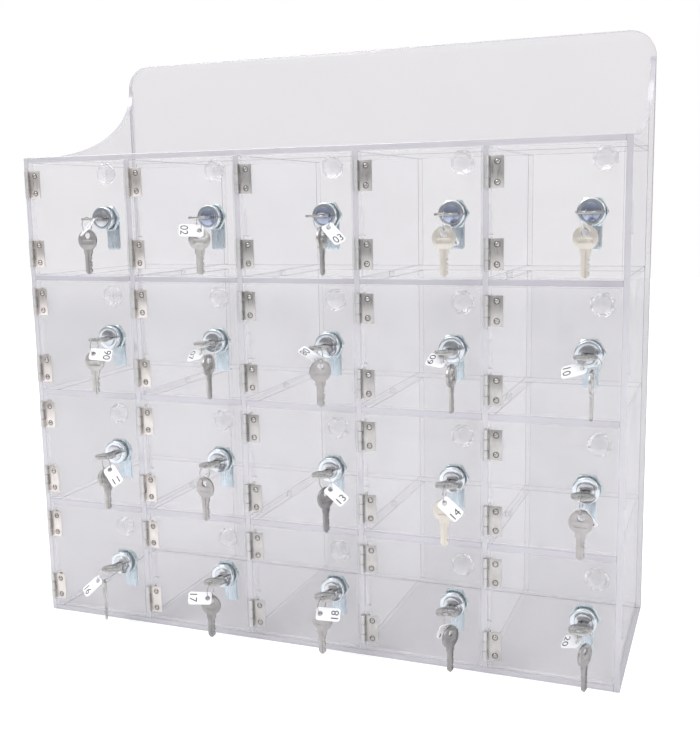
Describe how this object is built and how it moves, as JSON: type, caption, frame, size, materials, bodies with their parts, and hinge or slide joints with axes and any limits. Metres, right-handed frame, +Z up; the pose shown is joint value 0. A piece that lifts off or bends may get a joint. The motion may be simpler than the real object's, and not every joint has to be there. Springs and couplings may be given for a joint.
{
  "type": "compartment locker",
  "caption": "Clear box of small square compartments, each with a hinged door, a faceted pull and a keyed cam lock, under a raised header with swept sides.",
  "frame": {"origin": "centre of the case's underside", "axes": "+Z up, the doors face -Y, +X to the right of a person facing the doors"},
  "size_m": [0.555, 0.2324, 0.548],
  "materials": {
    "clear_sheet": "clear polished sheet",
    "clear_door": "clear polished sheet with plated metal fittings",
    "hinge_nickel": "satin nickel",
    "lock_metal": "plated lock core, nickel keys, pale number tag"
  },
  "bodies": {
    "case": {"side_left": "clear_sheet", "side_right": "clear_sheet", "bottom_panel": "clear_sheet", "top_panel": "clear_sheet", "back_panel": "clear_sheet", "divider_1": "clear_sheet", "divider_2": "clear_sheet", "divider_3": "clear_sheet", "divider_4": "clear_sheet", "shelf_1": "clear_sheet", "shelf_2": "clear_sheet", "shelf_3": "clear_sheet", "hinge_frame_leaves": "hinge_nickel", "hinge_pins": "hinge_nickel", "frame_leaf_screws": "hinge_nickel"},
    "door_01_body": {"door_01": "clear_door"},
    "lock_01_body": {"lock_01": "lock_metal"},
    "door_02_body": {"door_02": "clear_door"},
    "lock_02_body": {"lock_02": "lock_metal"},
    "door_03_body": {"door_03": "clear_door"},
    "lock_03_body": {"lock_03": "lock_metal"},
    "door_04_body": {"door_04": "clear_door"},
    "lock_04_body": {"lock_04": "lock_metal"},
    "door_05_body": {"door_05": "clear_door"},
    "lock_05_body": {"lock_05": "lock_metal"},
    "door_06_body": {"door_06": "clear_door"},
    "lock_06_body": {"lock_06": "lock_metal"},
    "door_07_body": {"door_07": "clear_door"},
    "lock_07_body": {"lock_07": "lock_metal"},
    "door_08_body": {"door_08": "clear_door"},
    "lock_08_body": {"lock_08": "lock_metal"},
    "door_09_body": {"door_09": "clear_door"},
    "lock_09_body": {"lock_09": "lock_metal"},
    "door_10_body": {"door_10": "clear_door"},
    "lock_10_body": {"lock_10": "lock_metal"},
    "door_11_body": {"door_11": "clear_door"},
    "lock_11_body": {"lock_11": "lock_metal"},
    "door_12_body": {"door_12": "clear_door"},
    "lock_12_body": {"lock_12": "lock_metal"},
    "door_13_body": {"door_13": "clear_door"},
    "lock_13_body": {"lock_13": "lock_metal"},
    "door_14_body": {"door_14": "clear_door"},
    "lock_14_body": {"lock_14": "lock_metal"},
    "door_15_body": {"door_15": "clear_door"},
    "lock_15_body": {"lock_15": "lock_metal"},
    "door_16_body": {"door_16": "clear_door"},
    "lock_16_body": {"lock_16": "lock_metal"},
    "door_17_body": {"door_17": "clear_door"},
    "lock_17_body": {"lock_17": "lock_metal"},
    "door_18_body": {"door_18": "clear_door"},
    "lock_18_body": {"lock_18": "lock_metal"},
    "door_19_body": {"door_19": "clear_door"},
    "lock_19_body": {"lock_19": "lock_metal"},
    "door_20_body": {"door_20": "clear_door"},
    "lock_20_body": {"lock_20": "lock_metal"}
  },
  "joints": [
    {"name": "door_01_hinge", "type": "hinge", "parent": "case", "child": "door_01_body", "pos_m": [-0.2736, -0.0972, 0.3875], "axis": [0, 0, -1], "range_deg": [0, 100]},
    {"name": "lock_01_turn", "type": "hinge", "parent": "door_01_body", "child": "lock_01_body", "pos_m": [-0.1925, -0.095, 0.3875], "axis": [0, -1, 0], "range_deg": [0, 90]},
    {"name": "door_02_hinge", "type": "hinge", "parent": "case", "child": "door_02_body", "pos_m": [-0.1636, -0.0972, 0.3875], "axis": [0, 0, -1], "range_deg": [0, 100]},
    {"name": "lock_02_turn", "type": "hinge", "parent": "door_02_body", "child": "lock_02_body", "pos_m": [-0.0825, -0.095, 0.3875], "axis": [0, -1, 0], "range_deg": [0, 90]},
    {"name": "door_03_hinge", "type": "hinge", "parent": "case", "child": "door_03_body", "pos_m": [-0.0536, -0.0972, 0.3875], "axis": [0, 0, -1], "range_deg": [0, 100]},
    {"name": "lock_03_turn", "type": "hinge", "parent": "door_03_body", "child": "lock_03_body", "pos_m": [0.0275, -0.095, 0.3875], "axis": [0, -1, 0], "range_deg": [0, 90]},
    {"name": "door_04_hinge", "type": "hinge", "parent": "case", "child": "door_04_body", "pos_m": [0.0564, -0.0972, 0.3875], "axis": [0, 0, -1], "range_deg": [0, 100]},
    {"name": "lock_04_turn", "type": "hinge", "parent": "door_04_body", "child": "lock_04_body", "pos_m": [0.1375, -0.095, 0.3875], "axis": [0, -1, 0], "range_deg": [0, 90]},
    {"name": "door_05_hinge", "type": "hinge", "parent": "case", "child": "door_05_body", "pos_m": [0.1664, -0.0972, 0.3875], "axis": [0, 0, -1], "range_deg": [0, 100]},
    {"name": "lock_05_turn", "type": "hinge", "parent": "door_05_body", "child": "lock_05_body", "pos_m": [0.2475, -0.095, 0.3875], "axis": [0, -1, 0], "range_deg": [0, 90]},
    {"name": "door_06_hinge", "type": "hinge", "parent": "case", "child": "door_06_body", "pos_m": [-0.2736, -0.0972, 0.2775], "axis": [0, 0, -1], "range_deg": [0, 100]},
    {"name": "lock_06_turn", "type": "hinge", "parent": "door_06_body", "child": "lock_06_body", "pos_m": [-0.1925, -0.095, 0.2775], "axis": [0, -1, 0], "range_deg": [0, 90]},
    {"name": "door_07_hinge", "type": "hinge", "parent": "case", "child": "door_07_body", "pos_m": [-0.1636, -0.0972, 0.2775], "axis": [0, 0, -1], "range_deg": [0, 100]},
    {"name": "lock_07_turn", "type": "hinge", "parent": "door_07_body", "child": "lock_07_body", "pos_m": [-0.0825, -0.095, 0.2775], "axis": [0, -1, 0], "range_deg": [0, 90]},
    {"name": "door_08_hinge", "type": "hinge", "parent": "case", "child": "door_08_body", "pos_m": [-0.0536, -0.0972, 0.2775], "axis": [0, 0, -1], "range_deg": [0, 100]},
    {"name": "lock_08_turn", "type": "hinge", "parent": "door_08_body", "child": "lock_08_body", "pos_m": [0.0275, -0.095, 0.2775], "axis": [0, -1, 0], "range_deg": [0, 90]},
    {"name": "door_09_hinge", "type": "hinge", "parent": "case", "child": "door_09_body", "pos_m": [0.0564, -0.0972, 0.2775], "axis": [0, 0, -1], "range_deg": [0, 100]},
    {"name": "lock_09_turn", "type": "hinge", "parent": "door_09_body", "child": "lock_09_body", "pos_m": [0.1375, -0.095, 0.2775], "axis": [0, -1, 0], "range_deg": [0, 90]},
    {"name": "door_10_hinge", "type": "hinge", "parent": "case", "child": "door_10_body", "pos_m": [0.1664, -0.0972, 0.2775], "axis": [0, 0, -1], "range_deg": [0, 100]},
    {"name": "lock_10_turn", "type": "hinge", "parent": "door_10_body", "child": "lock_10_body", "pos_m": [0.2475, -0.095, 0.2775], "axis": [0, -1, 0], "range_deg": [0, 90]},
    {"name": "door_11_hinge", "type": "hinge", "parent": "case", "child": "door_11_body", "pos_m": [-0.2736, -0.0972, 0.1675], "axis": [0, 0, -1], "range_deg": [0, 100]},
    {"name": "lock_11_turn", "type": "hinge", "parent": "door_11_body", "child": "lock_11_body", "pos_m": [-0.1925, -0.095, 0.1675], "axis": [0, -1, 0], "range_deg": [0, 90]},
    {"name": "door_12_hinge", "type": "hinge", "parent": "case", "child": "door_12_body", "pos_m": [-0.1636, -0.0972, 0.1675], "axis": [0, 0, -1], "range_deg": [0, 100]},
    {"name": "lock_12_turn", "type": "hinge", "parent": "door_12_body", "child": "lock_12_body", "pos_m": [-0.0825, -0.095, 0.1675], "axis": [0, -1, 0], "range_deg": [0, 90]},
    {"name": "door_13_hinge", "type": "hinge", "parent": "case", "child": "door_13_body", "pos_m": [-0.0536, -0.0972, 0.1675], "axis": [0, 0, -1], "range_deg": [0, 100]},
    {"name": "lock_13_turn", "type": "hinge", "parent": "door_13_body", "child": "lock_13_body", "pos_m": [0.0275, -0.095, 0.1675], "axis": [0, -1, 0], "range_deg": [0, 90]},
    {"name": "door_14_hinge", "type": "hinge", "parent": "case", "child": "door_14_body", "pos_m": [0.0564, -0.0972, 0.1675], "axis": [0, 0, -1], "range_deg": [0, 100]},
    {"name": "lock_14_turn", "type": "hinge", "parent": "door_14_body", "child": "lock_14_body", "pos_m": [0.1375, -0.095, 0.1675], "axis": [0, -1, 0], "range_deg": [0, 90]},
    {"name": "door_15_hinge", "type": "hinge", "parent": "case", "child": "door_15_body", "pos_m": [0.1664, -0.0972, 0.1675], "axis": [0, 0, -1], "range_deg": [0, 100]},
    {"name": "lock_15_turn", "type": "hinge", "parent": "door_15_body", "child": "lock_15_body", "pos_m": [0.2475, -0.095, 0.1675], "axis": [0, -1, 0], "range_deg": [0, 90]},
    {"name": "door_16_hinge", "type": "hinge", "parent": "case", "child": "door_16_body", "pos_m": [-0.2736, -0.0972, 0.0575], "axis": [0, 0, -1], "range_deg": [0, 100]},
    {"name": "lock_16_turn", "type": "hinge", "parent": "door_16_body", "child": "lock_16_body", "pos_m": [-0.1925, -0.095, 0.0575], "axis": [0, -1, 0], "range_deg": [0, 90]},
    {"name": "door_17_hinge", "type": "hinge", "parent": "case", "child": "door_17_body", "pos_m": [-0.1636, -0.0972, 0.0575], "axis": [0, 0, -1], "range_deg": [0, 100]},
    {"name": "lock_17_turn", "type": "hinge", "parent": "door_17_body", "child": "lock_17_body", "pos_m": [-0.0825, -0.095, 0.0575], "axis": [0, -1, 0], "range_deg": [0, 90]},
    {"name": "door_18_hinge", "type": "hinge", "parent": "case", "child": "door_18_body", "pos_m": [-0.0536, -0.0972, 0.0575], "axis": [0, 0, -1], "range_deg": [0, 100]},
    {"name": "lock_18_turn", "type": "hinge", "parent": "door_18_body", "child": "lock_18_body", "pos_m": [0.0275, -0.095, 0.0575], "axis": [0, -1, 0], "range_deg": [0, 90]},
    {"name": "door_19_hinge", "type": "hinge", "parent": "case", "child": "door_19_body", "pos_m": [0.0564, -0.0972, 0.0575], "axis": [0, 0, -1], "range_deg": [0, 100]},
    {"name": "lock_19_turn", "type": "hinge", "parent": "door_19_body", "child": "lock_19_body", "pos_m": [0.1375, -0.095, 0.0575], "axis": [0, -1, 0], "range_deg": [0, 90]},
    {"name": "door_20_hinge", "type": "hinge", "parent": "case", "child": "door_20_body", "pos_m": [0.1664, -0.0972, 0.0575], "axis": [0, 0, -1], "range_deg": [0, 100]},
    {"name": "lock_20_turn", "type": "hinge", "parent": "door_20_body", "child": "lock_20_body", "pos_m": [0.2475, -0.095, 0.0575], "axis": [0, -1, 0], "range_deg": [0, 90]}
  ]
}
